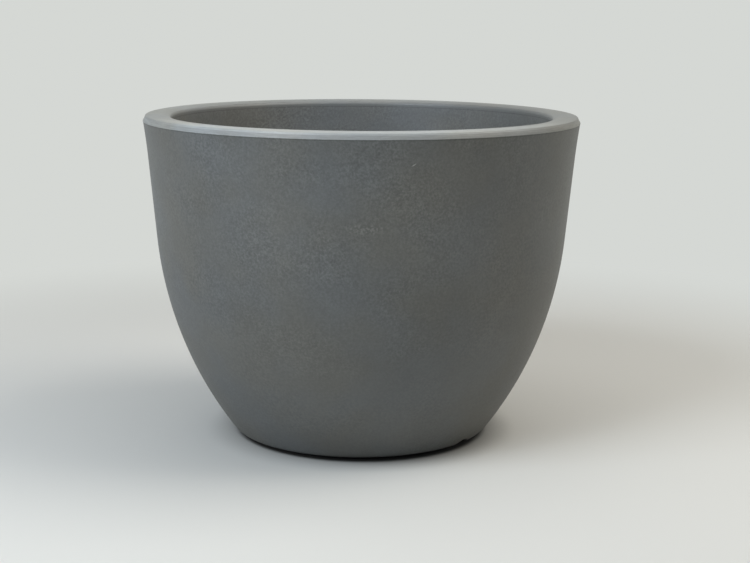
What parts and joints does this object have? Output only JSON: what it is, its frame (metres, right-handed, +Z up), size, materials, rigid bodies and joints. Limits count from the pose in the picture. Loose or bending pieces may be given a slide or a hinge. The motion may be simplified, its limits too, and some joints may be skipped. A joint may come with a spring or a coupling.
{
  "type": "plastic flower pot",
  "caption": "Round bellied plastic floor planter with a broad rim, a drained foot, a push-in drain plug and a lift-out strainer.",
  "frame": {"origin": "centre of the foot ring on the ground plane", "axes": "+Z up along the pot's axis, through the middle of the mouth; -Y towards the viewer of the picture, +X to their right"},
  "size_m": [0.3999, 0.4, 0.2978],
  "materials": {
    "shell_plastic": "stone-grey moulded polyethylene with a fine sandy speckle",
    "plug_rubber": "matt black moulded rubber",
    "strainer_plastic": "satin charcoal moulded plastic"
  },
  "bodies": {
    "pot": {"pot_shell": "shell_plastic"},
    "plug": {"drain_plug": "plug_rubber"},
    "strainer": {"drain_strainer": "strainer_plastic"}
  },
  "joints": [
    {"name": "plug_pull", "type": "slide", "parent": "pot", "child": "plug", "axis": [0, 0, -1], "range_m": [0, 0.03]},
    {"name": "strainer_lift", "type": "slide", "parent": "pot", "child": "strainer", "axis": [0, 0, 1], "range_m": [0, 0.32]}
  ]
}
